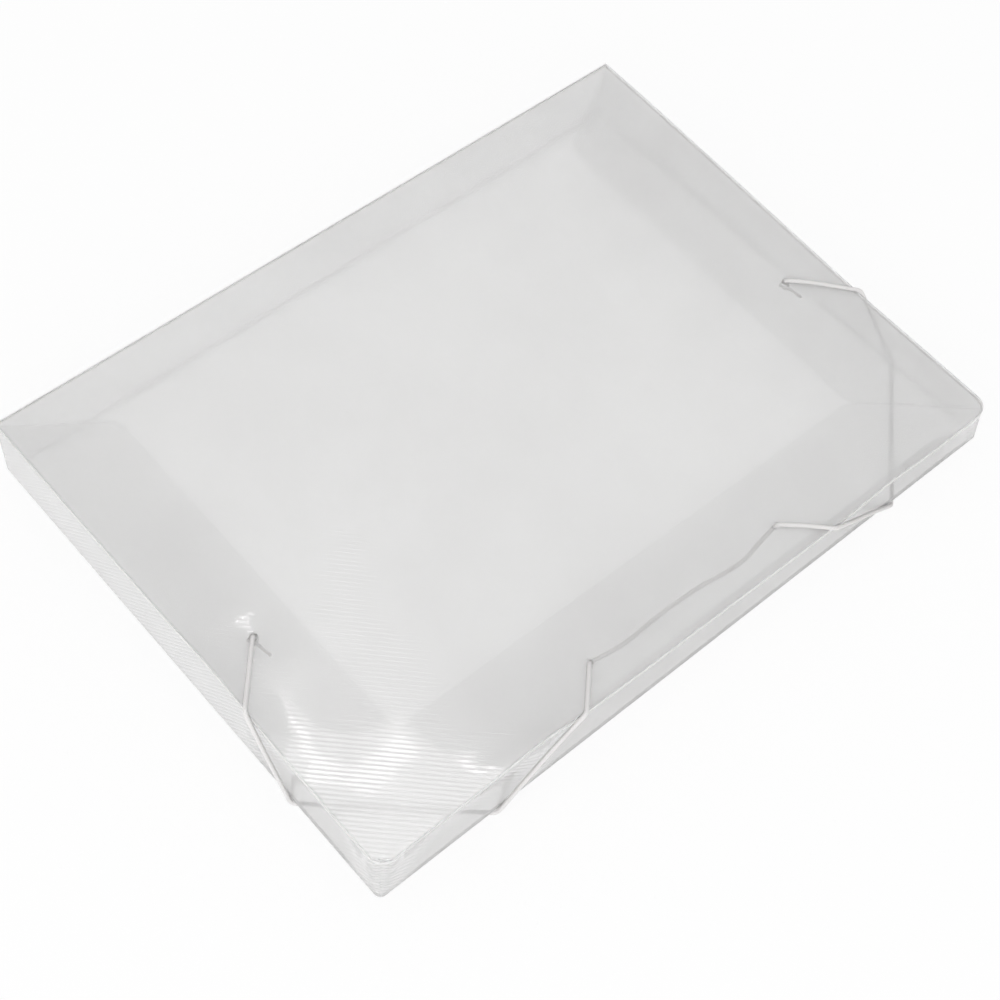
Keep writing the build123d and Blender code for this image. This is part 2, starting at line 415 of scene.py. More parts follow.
def spread(step, crowded=()):
    """Column places a step apart over any panel, with more of them round each crowded place."""
    wide = np.arange(-COLUMN_REACH, COLUMN_REACH, step)
    if not crowded:
        return wide
    crowded = np.array(crowded)[:, None]
    wide = wide[np.abs(wide - crowded).min(axis=0) > CROWD_REACH]
    both = np.sort(np.concatenate((wide, (crowded + CROWD).ravel())))
    return both[np.concatenate(([True], np.diff(both) > CROWD_GAP))]


# %% The lid's sheet
LID_CORNER, LID_STEP = 7.0, 12


def lid_place(u, v, height):
    """The lid lies level, less what presses it down there."""
    return np.stack((u, v, lid_under + height - pressed(u, v)), axis=1)


lid = ribbed_sheet(
    "cover",
    rounded(rectangle(lid_low, lid_high), (LID_CORNER, LID_CORNER, 0, 0)),
    lid_place,
    spread(LID_STEP, [(x - y) * DIAGONAL for x, y in HOLE_MIDDLES]),
    HOLE_MIDDLES,
)
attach(lid, "cover")
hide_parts("cover_panel")

# %% [markdown]
# ## Floor and spine
#
# These two panels stay flat. The ribs are on the outside of the sheet, so they are under the floor and
# behind the spine, and because the sheet is folded up from one piece, they cross the lid's ribs there.

# %% Flat panels
FOOT_CORNER = 3.0
FLOOR_STEP, SPINE_STEP = 40, 14


def panel(name, low, high, place, step, body, node, rounding=0):
    """A ribbed sheet between two corners of its own flat coordinates, which rides on a body.

    The two corners at the high end of v may be round.
    """
    outline = rounded(rectangle(low, high), (0, 0, rounding, rounding))
    obj = ribbed_sheet(name, outline, place, spread(step))
    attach(obj, body)
    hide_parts(node)


def floor_place(u, v, height):
    """The floor lies level with its outer face down. v runs to the front."""
    return np.stack((u, -v, box_bottom + thickness - height), axis=1)


def spine_place(u, v, height):
    """The spine stands upright with its outer face to the back. v runs down."""
    return np.stack((u, spine_low[1] + height, -v), axis=1)


floor_start, floor_end = (floor_low[0], -floor_high[1]), (floor_high[0], -floor_low[1])
floor_corner = FOOT_CORNER - (floor_low[1] - front_y)
panel("floor", floor_start, floor_end, floor_place, FLOOR_STEP, "tray", "bottom_panel", floor_corner)
spine_start, spine_end = (spine_low[0], -spine_high[2]), (spine_high[0], -spine_low[2])
panel("spine", spine_start, spine_end, spine_place, SPINE_STEP, "spine", "spine_panel")

# %% [markdown]
# ## The three walls
#
# A wall stands on a fold and ends in another one, and the lid presses on its head. The sheet can't get
# shorter, so where the lid is low the wall bows inwards, most at half its height. A half sine whose line is
# longer than its chord by a little is as deep as 2 / pi times the root of that little times the chord. Here
# the bow takes up half of the lost height, and the folds the rest, which makes that factor 0.45. The bow
# dies away at the front corners. There the walls are pressed round: at their heads to the lid's own corner,
# and to a tighter one at their feet. Each wall takes half of the turn.

# %% Sizes of the walls
BOW_FACTOR, BOW_EASE = 0.45, 30.0
# Both walls at a corner end by this angle short of its middle
CORNER_SLIT = 0.01
HALF_TURN = np.pi / 4 - CORNER_SLIT
CORNER_RUN = LID_CORNER * (1 - HALF_TURN)
front_end, side_end = half_length - CORNER_RUN, front_y + CORNER_RUN
FOLD_ROOT, LID_GAP = 1.0, 0.3
wall_foot = cad_corners("front_wall")[0][2]
wall_back = cad_corners("left_wall")[1][1]
fold_level = lid_under - LID_GAP - fold_half
wall_head = fold_level - FOLD_ROOT
print(f"walls stand from {wall_foot:.2f} to {wall_head:.2f} mm under a lid that isn't pressed down")


# %% The walls in plan
def front_plan(u, depth, radius):
    """The front wall in plan. Past the start of the corner's arc the way along it becomes an angle.

    That way is u, stretched so that the wall ends in the middle of the arc, whatever the arc's radius is.
    """
    way = np.abs(u) * (half_length - radius * (1 - HALF_TURN)) / front_end
    turn = np.clip(way - half_length + radius, 0, None) / radius
    x = np.minimum(way, half_length - radius) + (radius - depth) * np.sin(turn)
    return np.sign(u) * x, front_y + radius - (radius - depth) * np.cos(turn)


def side_plan(side, u, depth, radius):
    """A side wall in plan: the other half of the same arc at its front end, and its far end at the spine."""
    way = back_y - (back_y - u) * (back_y - front_y - radius * (1 - HALF_TURN)) / (back_y - side_end)
    turn = np.clip(front_y + radius - way, 0, None) / radius
    x = half_length - radius + (radius - depth) * np.cos(turn)
    return side * x, np.maximum(way, front_y + radius) - (radius - depth) * np.sin(turn)


def corner_radius(share):
    """The radius of the walls' corner at a share of their height."""
    return FOOT_CORNER + share * (LID_CORNER - FOOT_CORNER)


def bowed(along, ends, share, lost):
    """How far a wall bows in at a share of its height, where some of that height is lost: half a sine."""
    lost = np.maximum(lost, 0)
    depth = BOW_FACTOR * np.sqrt(lost * (wall_head - wall_foot - lost))
    reach = np.minimum(along - ends[0], ends[1] - along) / BOW_EASE
    return depth * np.sin(np.pi * share) * np.sin(np.pi / 2 * np.clip(reach, 0, 1)) ** 2


# %% The walls' sheets
WALL_STEP = 5


def front_drop(x):
    """How far the lid's front edge lies down."""
    return pressed(x, np.full_like(x, front_y))


def side_drop(side, y):
    """How far the lid's left or right edge lies down."""
    return pressed(np.full_like(y, side * half_length), y)


def front_place(u, v, height):
    """The front wall: u runs along X and v up. Heights shrink evenly down to the fold at the foot."""
    share = (v - wall_foot) / (wall_head - wall_foot)
    lost = front_drop(u)
    bow = bowed(u, (-front_end, front_end), share, lost)
    x, y = front_plan(u, thickness - height + bow, corner_radius(share))
    return np.stack((x, y, v - share * lost), axis=1)


def side_place(side, u, v, height):
    """A side wall: u runs along Y, and v up on the left and down on the right, as the folded ribs need."""
    up = v if side < 0 else -v
    share = (up - wall_foot) / (wall_head - wall_foot)
    lost = side_drop(side, u)
    bow = bowed(u, (side_end, back_y), share, lost)
    x, y = side_plan(side, u, thickness - height + bow, corner_radius(share))
    return np.stack((x, y, up - share * lost), axis=1)


front_start, front_stop = (-front_end, wall_foot), (front_end, wall_head)
panel("front_wall_sheet", front_start, front_stop, front_place, WALL_STEP, "front_wall", "front_wall")
for name, side in SIDES.items():
    low_v, high_v = (wall_foot, wall_head) if side < 0 else (-wall_head, -wall_foot)
    wall, place = f"{name}_wall", partial(side_place, side)
    panel(f"{wall}_sheet", (side_end, low_v), (wall_back, high_v), place, WALL_STEP, wall, wall)

# %% [markdown]
# ## The inner flaps
#
# Each wall carries a flap that folds in under the lid and keeps the papers from slipping out. It dips into
# the box, because the elastic's knots and its inner run lie on it. A flap's first few millimetres follow
# the lid's wavy edge, as the wall's head does. The lid's small waves end there: further in, the flap only
# leans as the CAD flap does.

# %% Sizes of the flaps
FLAP_DEPTH, FLAP_DIP, FLAP_CURL = 43.0, np.radians(12.0), 0.9
# The run of a flap's bend from its wall, and the one over which the lid's waves end in it
FLAP_BEND, FLAP_SETTLE = 5.0, 20.0
# The radius of its corners, and how far its end at the spine slants back
FLAP_CORNER, FLAP_SPINE_CUT = 6.0, 22.0
FLAP_START_GAP, FLAP_HIP_GAP, FLAP_END_GAP = 0.1, 0.6, 1.0
# The run at which its front end, which starts clear of the walls' round corner, joins the hip
CORNER_CLEAR = 2.7
FLAP_STEP = 1.8
flap_start = fold_half + FLAP_START_GAP
flap_back = back_y - thickness - FLAP_END_GAP
side_axis, front_axis = half_length - fold_half, front_y + fold_half
print(f"flaps reach {FLAP_DEPTH * np.cos(FLAP_DIP):.1f} mm in and dip {FLAP_DEPTH * np.sin(FLAP_DIP):.1f} mm")


# %% How a flap lies
def lean(x, y):
    """The drop of a lid without waves: none at the spine, and the corners' drops joined by straight lines."""
    return forward(y) * from_side_to_side(x, NEAR_CORNER_DROP, FAR_CORNER_DROP)


def flap_place(plan, u, v, height):
    """A flap: from its fold it dips and curls up again slightly. At its fold it follows the lid's wavy edge.

    Over its first centimetres that drop changes to the plain lean, by the smooth step 3 s^2 - 2 s^3 of the
    run. The plan gives that run from the fold, and x and y.
    """
    run, x, y = plan(u, v)
    level = fold_level - run * np.sin(FLAP_DIP) + (height - fold_half) * np.cos(FLAP_DIP)
    curl = FLAP_CURL * (run / FLAP_DEPTH) ** 2
    s = np.clip(run / FLAP_SETTLE, 0, 1)
    s = 3 * s**2 - 2 * s**3
    return np.stack((x, y, level + curl - (1 - s) * pressed(x, y) - s * lean(x, y)), axis=1)


def folded_flap(name, outline, plan):
    """A flap sheet in place of the CAD flap, whose first centimetres from the fold follow the lid's wavy
    edge.
    """
    obj = ribbed_sheet(f"{name}_flap_sheet", outline, partial(flap_place, plan), spread(FLAP_STEP))
    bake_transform(obj)
    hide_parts(f"{name}_flap")


def hip(run):
    """How far a flap's end lies from the folds' corner: a gap, and as much as the dipped flap reaches in."""
    return FLAP_HIP_GAP + run * np.cos(FLAP_DIP)


# %% Side flaps
def side_flap_plan(side, u, v):
    """A side flap: u is the run, away from its own side, and v runs along Y."""
    run = np.abs(u)
    return run, side * (side_axis - run * np.cos(FLAP_DIP)), v


cut_slope = FLAP_SPINE_CUT / FLAP_DEPTH
side_flap_corners = [
    (flap_start, front_y + LID_CORNER),
    (CORNER_CLEAR, front_axis + hip(CORNER_CLEAR)),
    (FLAP_DEPTH, front_axis + hip(FLAP_DEPTH)),
    (FLAP_DEPTH, flap_back - cut_slope * FLAP_DEPTH),
    (flap_start, flap_back - cut_slope * flap_start),
]
for name, side in SIDES.items():
    outline = rounded([(-side * run, y) for run, y in side_flap_corners], (0, 0, FLAP_CORNER, FLAP_CORNER, 0))
    plan = partial(side_flap_plan, side)
    folded_flap(name, outline, plan)


# %% The front flap
def front_flap_plan(u, v):
    """The front flap: u runs along X, and v is the run."""
    return v, u, front_axis + v * np.cos(FLAP_DIP)


right_corners = [
    (half_length - LID_CORNER, flap_start),
    (side_axis - hip(CORNER_CLEAR), CORNER_CLEAR),
    (side_axis - hip(FLAP_DEPTH), FLAP_DEPTH),
]
left_corners = [(-x, run) for x, run in right_corners[::-1]]
front_flap_outline = rounded(right_corners + left_corners, (0, 0, FLAP_CORNER, FLAP_CORNER, 0, 0))
folded_flap("front", front_flap_outline, front_flap_plan)

# %% [markdown]
# ## The folds of the walls
#
# A living hinge is a thin line where the sheet is scored and bends. On both edges of the spine the CAD folds
# are straight and stay as they are. The folds at the walls' heads have to follow the bent lid, and those at
# their feet have to go round the front corners, so they are made anew: a small section with a round back,
# carried along the wall.


# %% A section carried along a line
def side_faces(stations, around):
    """The station and the spoke of each triangle's corners, two triangles to a field of the grid."""
    i, k = np.meshgrid(np.arange(stations - 1), np.arange(around), indexing="ij")
    field = np.array(((i, k), (i, k + 1), (i + 1, k + 1), (i + 1, k)))
    return field[[[0, 1, 2], [0, 2, 3]]].transpose(2, 0, 3, 4, 1).reshape(2, -1, 3)


def end_faces(stations, around):
    """A fan of triangles over each end, round two more points that follow those of the grid."""
    ring = np.arange(around)
    following = (ring + 1) % around
    last_ring, middle = (stations - 1) * around, stations * around
    start = np.stack((np.full(around, middle), following, ring), 1)
    stop = np.stack((np.full(around, middle + 1), last_ring + ring, last_ring + following), 1)
    return np.concatenate((start, stop))


def carried(name, grid):
    """A closed skin over a grid of points (stations, section points, 3), whose section closes on itself.

    The UV map runs once round the section, and along the line by the same measure. The ends have no map.
    """
    stations, around = grid.shape[:2]
    station, spoke = side_faces(stations, around)
    caps = end_faces(stations, around)
    triangles = np.concatenate((station * around + spoke % around, caps))
    points = np.concatenate((grid.reshape(-1, 3), grid[[0, -1]].mean(axis=1)))
    girth = np.linalg.norm(np.diff(grid[0], axis=0, append=grid[0][:1]), axis=1).sum()
    steps = np.linalg.norm(np.diff(grid.mean(axis=1), axis=0), axis=1)
    way = np.concatenate(([0], steps.cumsum())) / girth
    uv = np.concatenate((np.stack((spoke / around, way[station]), -1), np.zeros((len(caps), 3, 2))))
    if inside_out(points, triangles):
        triangles, uv = triangles[:, ::-1], uv[:, ::-1]
    obj = add_mesh(name, points, triangles)
    obj.data.uv_layers.new(name="UVMap").data.foreach_set("uv", uv.astype(np.float32).ravel())
    return obj


# %% Sections of the folds
half_round = np.linspace(0, np.pi, 9)
head_back = np.stack((1 - np.cos(half_round), np.sin(half_round)), axis=1) * fold_half + (0, fold_level)
foot_back = np.stack((1 - np.sin(half_round), 1 - np.cos(half_round)), axis=1) * fold_half + (0, box_bottom)
root_middle = wall_head + FOLD_ROOT / 2
HEAD_SECTION = np.concatenate(
    (
        [(0, wall_head), (0, root_middle)],
        head_back,
        [(thickness, root_middle), (thickness, wall_head), (fold_half, wall_head)],
    )
)
FOOT_SECTION = np.concatenate(
    (
        [(fold_half + FOLD_ROOT, box_bottom)],
        foot_back,
        [(fold_half + FOLD_ROOT, box_bottom + thickness)],
    )
)
print("section points:", len(HEAD_SECTION), "at the head,", len(FOOT_SECTION), "at the foot")

# %% Folds at head and foot
CORNER_STATIONS = np.linspace(0, 7, 10)
STRAIGHT_START, STRAIGHT_STATIONS = 9, 110


def wall_fold(name, section, ends, plan, radius, drop, body, node):
    """A fold's section (inwards, level) carried along a wall's plan and lowered by the drop at each place."""
    straight = np.linspace(ends[0] + STRAIGHT_START, ends[1] - STRAIGHT_START, STRAIGHT_STATIONS)
    way = np.concatenate((ends[0] + CORNER_STATIONS, straight, ends[1] - CORNER_STATIONS[::-1]))
    along, inwards = np.meshgrid(way, section[:, 0], indexing="ij")
    x, y = plan(along, inwards, radius)
    obj = carried(name, np.stack((x, y, section[:, 1] - drop(along)), axis=-1))
    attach(obj, body)
    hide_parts(node)
    return obj


def wall_folds(name, ends, plan, edge):
    """The head's fold rides on the wall and follows the lid's edge. The foot's rides on the tray, level."""
    wall = f"{name}_wall"
    head_name, head_node = f"{name}_head_fold", f"{name}_top_crease"
    head = wall_fold(head_name, HEAD_SECTION, ends, plan, LID_CORNER, edge, wall, head_node)
    foot_name, foot_node = f"{name}_foot_fold", f"{name}_bottom_crease"
    foot = wall_fold(foot_name, FOOT_SECTION, ends, plan, FOOT_CORNER, np.zeros_like, "tray", foot_node)
    return [head, foot]


folds = wall_folds("front", (-front_end, front_end), front_plan, front_drop)
for name, side in SIDES.items():
    folds += wall_folds(name, (side_end, wall_back), partial(side_plan, side), partial(side_drop, side))

# %% [markdown]
# ## The elastic
#
# One round elastic does all the work. It ends in a knot under the lid, comes up through the first hole, runs
# round the box's corner, goes down through the next hole, along under the lid to the other corner, and ends
# in a second knot. A curve object with a bevel would do, but its points would then need the lid's shape by
# hand. Here the route is a line through the CAD route's corners, each rounded by a short parabola, and every
# point above the table asks the lid how far it is pressed down.

# %% Cord sizes
CORD_RADIUS, CORD_CLEAR, CORD_STEP = 0.9, 0.08, 0.8
SEAT = CORD_RADIUS + CORD_CLEAR
over, under, below = lid_top + SEAT, lid_under - SEAT, box_bottom - SEAT
SIDE_HOLE, FRONT_HOLE = HOLE_MIDDLES[3], HOLE_MIDDLES[2]
SIDE_CROSSING_TOP, SIDE_CROSSING_FOOT = -43.9, -69.9
FRONT_CROSSING_TOP, FRONT_CROSSING_FOOT = 69.0, 111.0
cords = []
print(f"cord {2 * CORD_RADIUS} mm thick, at {over:.2f} mm over a flat lid and at {under:.2f} mm under it")


# %% A line with rounded corners
def softened(points, reach, steps=9):
    """The line through points, with a parabola in place of each inner corner.

    It is (1 - s)^2 a + 2 s (1 - s) corner + s^2 b, where a and b lie a reach before and past the corner.
    """
    points = np.array(points, float)
    mid, before, after = points[1:-1], points[:-2], points[2:]
    reach = np.broadcast_to(reach, len(mid))[:, None]
    a, b = mid - unit(mid - before) * reach, mid + unit(after - mid) * reach
    s = np.linspace(0, 1, steps)[None, :, None]
    bends = (1 - s) ** 2 * a[:, None] + 2 * s * (1 - s) * mid[:, None] + s**2 * b[:, None]
    return np.concatenate((points[:1], bends.reshape(-1, 3), points[-1:]))


def even(line, step):
    """The same line with points an even step apart, by its length from the start."""
    way = np.concatenate(([0], np.linalg.norm(np.diff(line, axis=0), axis=1).cumsum()))
    at = np.linspace(0, way[-1], int(way[-1] / step) + 2)
    return np.stack([np.interp(at, way, line[:, k]) for k in range(3)], axis=1)


def follow_lid(line, share):
    """Lowers a line by the lid's drop above it, times a share for each point."""
    x, y = np.clip(line[:, 0], -half_length, half_length), np.clip(line[:, 1], front_y, back_y)
    line = line.copy()
    line[:, 2] -= share * pressed(x, y)
    return line


# %% A round cord
def tube(name, line, radius, aim, sides=14):
    """A round tube: each ring stands square to the line, and its first spoke is also square to the aim.

    The aim is a direction, or one for each point, that the line never takes.
    """
    ahead = unit(np.gradient(line, axis=0))
    spoke = unit(np.cross(ahead, aim))
    other = np.cross(ahead, spoke)
    turn = 2 * np.pi * np.arange(sides) / sides
    ring = np.cos(turn)[None, :, None] * spoke[:, None] + np.sin(turn)[None, :, None] * other[:, None]
    return carried(name, line[:, None] + radius * ring)


def lid_cord(name, node, *shape):
    """A tube that rides on the lid and stands for a CAD node."""
    obj = tube(name, *shape)
    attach(obj, "cover")
    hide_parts(node)
    cords.append(obj)


# %% Both loops
# A place inside the box, at which the aims of both loops point
LOOP_HEART = (0, 0, 20)
LOOP_BENDS = (0.7, 2, 2, 2, 2, 0.7)


def loop_line(side):
    """From the side hole over the edge, under the corner and back up to the front hole."""
    outer_x, outer_y = half_length + SEAT, front_y - SEAT
    points = [
        (SIDE_HOLE[0], SIDE_HOLE[1], lid_middle),
        (SIDE_HOLE[0] + 0.7, SIDE_HOLE[1] - 0.8, over),
        (outer_x, SIDE_CROSSING_TOP, over),
        (outer_x, SIDE_CROSSING_FOOT, below),
        (FRONT_CROSSING_FOOT, outer_y, below),
        (FRONT_CROSSING_TOP, outer_y, over),
        (FRONT_HOLE[0] + 0.8, FRONT_HOLE[1] - 0.8, over),
        (FRONT_HOLE[0], FRONT_HOLE[1], lid_middle),
    ]
    line = even(softened(np.array(points) * (side, 1, 1), LOOP_BENDS), CORD_STEP)
    share = np.clip((line[:, 2] - box_bottom) / (lid_top - box_bottom), 0, 1)
    return follow_lid(line, share)


for name, side in SIDES.items():
    loop = loop_line(side)
    lid_cord(f"{name}_elastic", f"{name}_elastic_loop", loop, CORD_RADIUS, LOOP_HEART - loop)

# %% The inner run
RUN_AIM = (0.4, -1, -0.2)
RUN_BENDS = (0.8, 6, 10, 6, 5, 4.5, 4.5, 0.8)
# Along the box, and behind the lid's front edge
INNER_RUN = ((-37, 13.4), (-15, 14.6), (7, 14.0), (20, 12.2), (31, 12.0), (41, 14.2))

hole_x, hole_y = FRONT_HOLE
run_points = [(-hole_x, hole_y, lid_middle), (-hole_x + 0.6, hole_y + 0.5, under)]
run_points += [(x, front_y + behind, under) for x, behind in INNER_RUN]
run_points += [(hole_x - 0.6, hole_y + 0.5, under), (hole_x, hole_y, lid_middle)]
run_line = follow_lid(even(softened(run_points, RUN_BENDS), CORD_STEP), 1)
lid_cord("elastic_inner_cord", "elastic_inner_run", run_line, CORD_RADIUS, RUN_AIM)

# %% [markdown]
# ## The knots
#
# Each end of the elastic is tied in an overhand knot, and pulled tight it is as wide as three cords. The
# line of an overhand knot is a trefoil: it goes twice round a ring while it winds three times round the
# ring's own tube. It is opened at one outer lobe, where one end comes from the hole and the other goes off
# as the cut tail.

# %% Knots
# In a knot that is pulled tight the cord is a little thinner
KNOT_SCALE, KNOT_CORD, KNOT_STEP = 0.62, 0.72, 0.3
KNOT_OPENING, KNOT_STATIONS = 0.22, 120
KNOT_AIM = (0.31, 0.17, 1.0)
TAIL = 7.0
knot_level = lid_under - 2.15


def trefoil(t):
    """The knot's closed line: (2 + cos 3t) cos 2t, (2 + cos 3t) sin 2t, sin 3t, with a lobe at the front."""
    wide, turn = 2 + np.cos(3 * t), 2 * t - np.pi / 2
    return KNOT_SCALE * np.stack((wide * np.cos(turn), wide * np.sin(turn), np.sin(3 * t)), 1)


def knot_line(x0, y0):
    """From the hole into the trefoil just past one lobe, once along it, and off into the tail."""
    body = trefoil(np.linspace(KNOT_OPENING, 2 * np.pi - KNOT_OPENING, KNOT_STATIONS))
    lead = [(0, 0, 2.45), (0.1, -0.2, 1.9), (0.5, -1.0, 1.5), (0.4, -1.8, 1.0)]
    onwards = np.array((0.8, 1.4, 1.6, 1.6))[:, None] * unit(body[-1] - body[-2])
    aside = np.array(((0, 0, 0), (0, -0.8, 0), (0.2, -TAIL * 0.6, -0.3), (0.6, -TAIL, -0.4)))
    tail = body[-1] + (onwards + aside)
    return even(np.concatenate((lead, body, tail)), KNOT_STEP) + (x0, y0, knot_level)


for name, side in SIDES.items():
    knot = follow_lid(knot_line(side * SIDE_HOLE[0], SIDE_HOLE[1]), 1)
    lid_cord(f"{name}_knot", f"{name}_end_knot", knot, KNOT_CORD, KNOT_AIM, 12)

# %% [markdown]
# ## The plastic
#
# Ribbed polypropylene scatters the light inside the sheet and keeps a glossy skin. Glass with a rough
# surface gives the haze, a share of plain white body colour gives the milkiness, and a thin smooth coat
# gives the sharp highlight. Fine grain in the bump breaks up the smooth skin between the ribs. The flaps are
# seen through the lid, and a real stack of sheets passes on more of the light that each one scatters than
# this shader does, so the flaps are a little clearer. The walls get a greyer copy of the same colour, which
# is painted shade. The scored folds are stretched white, and let less light straight through.


# %% Node helpers
def new_material(name):
    """A material with one Principled shader, and that shader."""
    material = bpy.data.materials.new(name)
    material.use_nodes = True
    return material, material.node_tree.nodes["Principled BSDF"]


def add_node(owner, kind, **settings):
    """A node of that kind. A setting is an attribute, or with a capital letter an input's value."""
    node = owner.node_tree.nodes.new(kind)
    for key, value in settings.items():
        if key[0].isupper():
            node.inputs[key.replace("_", " ")].default_value = value
        else:
            setattr(node, key, value)
    return node


def join(owner, output, socket):
    """Links an output to an input, in the nodes of a material or the world."""
    owner.node_tree.links.new(output, socket)


# %% The sheet's finish
def plastic(name, milky, haze, clear, coat):
    """Frosted polypropylene.

    Milky gives the two ends of its colour, haze its roughness, clear the share of light that goes through,
    and coat the strength of its glossy skin.
    """
    material, shader = new_material(name)
    where = add_node(material, "ShaderNodeTexCoord").outputs["Object"]
    cloud = add_node(material, "ShaderNodeTexNoise", Scale=22.0, Detail=3.0, Roughness=0.55)
    join(material, where, cloud.inputs["Vector"])
    tint = add_node(material, "ShaderNodeValToRGB")
    for element, position, colour in zip(tint.color_ramp.elements, (0.35, 0.65), milky):
        element.position = position
        element.color = (*colour, 1)
    join(material, cloud.outputs["Fac"], tint.inputs["Fac"])
    join(material, tint.outputs["Color"], shader.inputs["Base Color"])
    grain = add_node(material, "ShaderNodeTexNoise", Scale=1400.0, Detail=2.0, Roughness=0.6)
    join(material, where, grain.inputs["Vector"])
    bump = add_node(material, "ShaderNodeBump", Strength=0.05, Distance=0.0002)
    join(material, grain.outputs["Fac"], bump.inputs["Height"])
    join(material, bump.outputs["Normal"], shader.inputs["Normal"])
    shader.inputs["Roughness"].default_value = haze
    shader.inputs["IOR"].default_value = 1.3
    shader.inputs["Transmission Weight"].default_value = clear
    shader.inputs["Coat Weight"].default_value = coat
    shader.inputs["Coat Roughness"].default_value = 0.04
    print(f"{name}: haze {haze}, clear {clear}, coat {coat}")
    return material


# %% Four finishes of one plastic
MILKY_WHITE = ((0.96, 0.957, 0.956), (0.98, 0.978, 0.977))
# The walls' greyer colour is painted shade: they are the same plastic as the rest of the sheet.
WALL_PAINTED_SHADE_WHITE = ((0.91, 0.905, 0.904), (0.93, 0.926, 0.925))
sheet_finish = plastic("frosted_polypropylene", MILKY_WHITE, haze=0.19, clear=0.75, coat=0.9)
wall_painted_shade_finish = plastic("wall_sheet_painted_shade", WALL_PAINTED_SHADE_WHITE, haze=0.13, clear=0.75, coat=0.9)
flap_finish = plastic("inner_flap_sheet", MILKY_WHITE, haze=0.13, clear=0.88, coat=0.9)
fold_finish = plastic("scored_fold", MILKY_WHITE, haze=0.3, clear=0.35, coat=0.5)
for name, obj in sheets.items():
    finish = flap_finish if "flap" in name else wall_painted_shade_finish if "wall" in name else sheet_finish
    obj.data.materials.append(finish)
for obj in folds:
    obj.data.materials.append(fold_finish)
straight_folds = [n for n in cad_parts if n.startswith("spine_") and n.endswith("_crease")]
for node in straight_folds:
    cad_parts[node].data.materials.clear()
    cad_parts[node].data.materials.append(fold_finish)
print("straight folds kept from CAD:", ", ".join(sorted(straight_folds)))

# %% [markdown]
# ## The knitted cover of the elastic
#
# The cord's rubber core is covered with fine white thread. Two sets of diagonal waves over the cord's own UV
# map cross like the threads of a braid. The map runs round and along the cord, so the braid follows every
# bend.

# %% Waves of thread
THREADS = 4
knit, knit_shader = new_material("knitted_elastic")
cord_map = add_node(knit, "ShaderNodeSeparateXYZ")
join(knit, add_node(knit, "ShaderNodeUVMap", uv_map="UVMap").outputs["UV"], cord_map.inputs[0])


def scaled(axis, factor):
    """One coordinate of the cord's map times a factor."""
    product = add_node(knit, "ShaderNodeMath", operation="MULTIPLY")
    product.inputs[1].default_value = factor
    join(knit, cord_map.outputs[axis], product.inputs[0])
    return product.outputs[0]


def diagonal_wave(direction):
    """The sine of some turns round the cord plus or minus as many along it, over a length like its girth."""
    both = add_node(knit, "ShaderNodeMath", operation="ADD")
    join(knit, scaled("X", 2 * np.pi * THREADS), both.inputs[0])
    join(knit, scaled("Y", direction * 2 * np.pi * THREADS), both.inputs[1])
    wave = add_node(knit, "ShaderNodeMath", operation="SINE")
    join(knit, both.outputs[0], wave.inputs[0])
    return wave.outputs[0]


# %% The elastic's finish
braid = add_node(knit, "ShaderNodeMath", operation="MAXIMUM")
join(knit, diagonal_wave(1), braid.inputs[0])
join(knit, diagonal_wave(-1), braid.inputs[1])
shade = add_node(knit, "ShaderNodeMapRange", From_Min=-1.0, From_Max=1.0)
join(knit, braid.outputs[0], shade.inputs["Value"])
# The ramp gives the cord's grey-white tone. Its darker end falls where the braid's bump is low: painted shade
# in the crevices between the threads.
thread_colour_and_crevice_shade = add_node(knit, "ShaderNodeValToRGB")
thread_colour_and_crevice_shade.color_ramp.elements[0].color = (0.66, 0.645, 0.64, 1)
thread_colour_and_crevice_shade.color_ramp.elements[1].color = (0.78, 0.765, 0.76, 1)
join(knit, shade.outputs["Result"], thread_colour_and_crevice_shade.inputs["Fac"])
join(knit, thread_colour_and_crevice_shade.outputs["Color"], knit_shader.inputs["Base Color"])
relief = add_node(knit, "ShaderNodeBump", Strength=0.4, Distance=0.0001)
join(knit, shade.outputs["Result"], relief.inputs["Height"])
join(knit, relief.outputs["Normal"], knit_shader.inputs["Normal"])
knit_shader.inputs["Roughness"].default_value = 0.7
knit_shader.inputs["Sheen Weight"].default_value = 0.25
for obj in cords:
    obj.data.materials.append(knit)
print("knitted:", ", ".join(obj.name for obj in cords))

# %% [markdown]
# ## The loops' own meshes
#
# On the real box the elastic is slipped off the corners before the lid is lifted. The loops can't be slipped
# off here. Each loop gets a mesh of its own.

# %% Loops with meshes of their own
for name, side in SIDES.items():
    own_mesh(bpy.data.objects[f"{name}_elastic"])

# %% [markdown]
# ## Studio
#
# The photograph is a plain product shot on white. The table is a white sheet that keeps a faint shadow, and
# the room is white too. A softbox with a brighter tube in it hangs high above the back of the box. Both
# shine in the lid's near corner. A large lamp of weaker light fills in from the front.


# %% White where it is only seen
def seen_white(owner, camera_share):
    """1 for glossy and transmission rays, a share for camera rays, and 0 for the rest, which carry light."""
    rays = add_node(owner, "ShaderNodeLightPath")
    camera_ray = add_node(owner, "ShaderNodeMath", operation="MULTIPLY")
    camera_ray.inputs[1].default_value = camera_share
    join(owner, rays.outputs["Is Camera Ray"], camera_ray.inputs[0])
    white = camera_ray.outputs[0]
    for kind in ("Is Transmission Ray", "Is Glossy Ray"):
        larger = add_node(owner, "ShaderNodeMath", operation="MAXIMUM")
        join(owner, white, larger.inputs[0])
        join(owner, rays.outputs[kind], larger.inputs[1])
        white = larger.outputs[0]
    return white


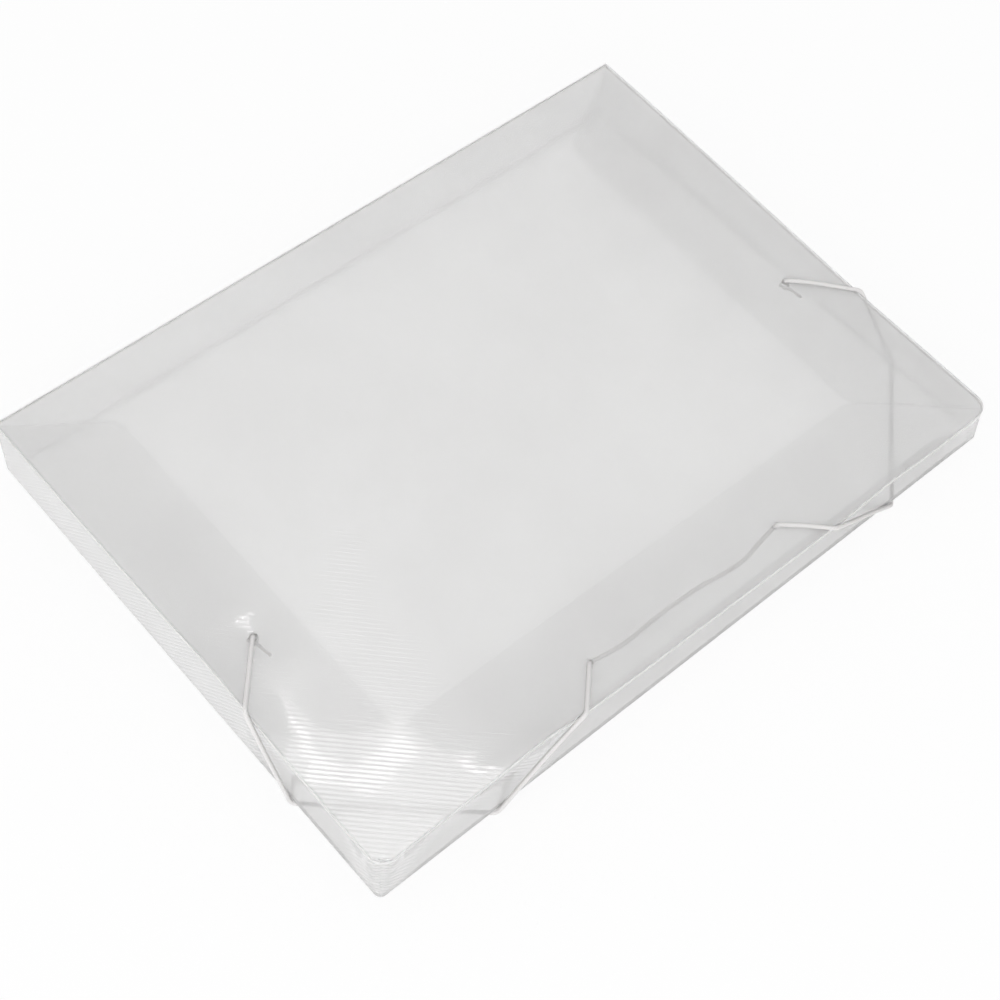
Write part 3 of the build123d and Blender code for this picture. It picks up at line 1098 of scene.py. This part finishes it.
# %% Table
TABLE_LEVEL, TABLE_HALF = -0.2, 4000.0
SHADOW_SHARE = 0.1
square = np.array(((-1, -1), (1, -1), (1, 1), (-1, 1)), float) * TABLE_HALF
table_points = np.column_stack((square, np.full(4, TABLE_LEVEL)))
table = add_mesh("table", table_points, np.array([(0, 1, 2), (0, 2, 3)]))
ground, ground_shader = new_material("white_table")
ground_shader.inputs["Base Color"].default_value = (0.94, 0.94, 0.94, 1)
ground_shader.inputs["Roughness"].default_value = 1.0
ground_shader.inputs["Specular IOR Level"].default_value = 0.0
glow = add_node(ground, "ShaderNodeEmission", Strength=1.0)
mixed = add_node(ground, "ShaderNodeMixShader")
join(ground, seen_white(ground, 1 - SHADOW_SHARE), mixed.inputs["Fac"])
join(ground, ground_shader.outputs[0], mixed.inputs[1])
join(ground, glow.outputs[0], mixed.inputs[2])
join(ground, mixed.outputs[0], ground.node_tree.nodes["Material Output"].inputs["Surface"])
table.data.materials.append(ground)

# %% Room
ROOM_LIGHT = 0.73
room = bpy.data.worlds.new("room")
room.use_nodes = True
bpy.context.scene.world = room
background = room.node_tree.nodes["Background"]
background.inputs["Color"].default_value = (1, 1, 1, 1)
strength = add_node(room, "ShaderNodeMapRange", To_Min=ROOM_LIGHT, To_Max=1.0)
join(room, seen_white(room, 1.0), strength.inputs["Value"])
join(room, strength.outputs["Result"], background.inputs["Strength"])
print("room light", ROOM_LIGHT, "and table shadow share", SHADOW_SHARE)


# %% Lamps
def softbox(name, middle, size, radiance, aim=None, turn=0.0):
    """A rectangular lamp that shines down, turned by some degrees, or else at an aim.

    Its power is radiance times pi times area.
    """
    lamp = bpy.data.lights.new(name, "AREA")
    lamp.shape, lamp.size, lamp.size_y = "RECTANGLE", size[0] * MM, size[1] * MM
    lamp.energy = radiance * np.pi * lamp.size * lamp.size_y
    obj = bpy.data.objects.new(name, lamp)
    bpy.context.scene.collection.objects.link(obj)
    obj.location = [m * MM for m in middle]
    obj.rotation_euler.z = np.radians(turn)
    if aim is not None:
        towards = Vector([a * MM for a in aim]) - obj.location
        obj.rotation_euler = towards.to_track_quat("-Z", "Y").to_euler()
    print(f"{name} {lamp.energy:.2f} W")


softbox("corner_softbox", middle=(110, 170, 1000), size=(160, 180), radiance=2.7)
softbox("tube_in_softbox", middle=(124, 226, 990), size=(98, 18), radiance=4.6, turn=12)
softbox("front_fill", middle=(-950, -800, 800), size=(1400, 1400), radiance=1.6, aim=(0, 0, 0))

# %% [markdown]
# ## Camera
#
# The camera was fitted to the box's corners as they lie in the photograph. Its lens goes with a sensor 36 mm
# wide, its place is in metres, and its turn is in degrees.

# %% Camera
CAMERA_PLACE = (-0.33550, -0.32211, 0.66551)
CAMERA_TURN = (33.4723, -3.4036, -40.9948)
bpy.context.scene.view_settings.view_transform = "Standard"
camera = bpy.data.objects.new("camera", bpy.data.cameras.new("camera"))
bpy.context.scene.collection.objects.link(camera)
bpy.context.scene.camera = camera
camera.data.lens = 68.47
camera.data.sensor_width = 36
camera.data.clip_end = 50
camera.location = CAMERA_PLACE
camera.rotation_euler = np.radians(CAMERA_TURN)
print(f"camera {np.linalg.norm(CAMERA_PLACE):.3f} m away, lens {camera.data.lens:.2f} mm")
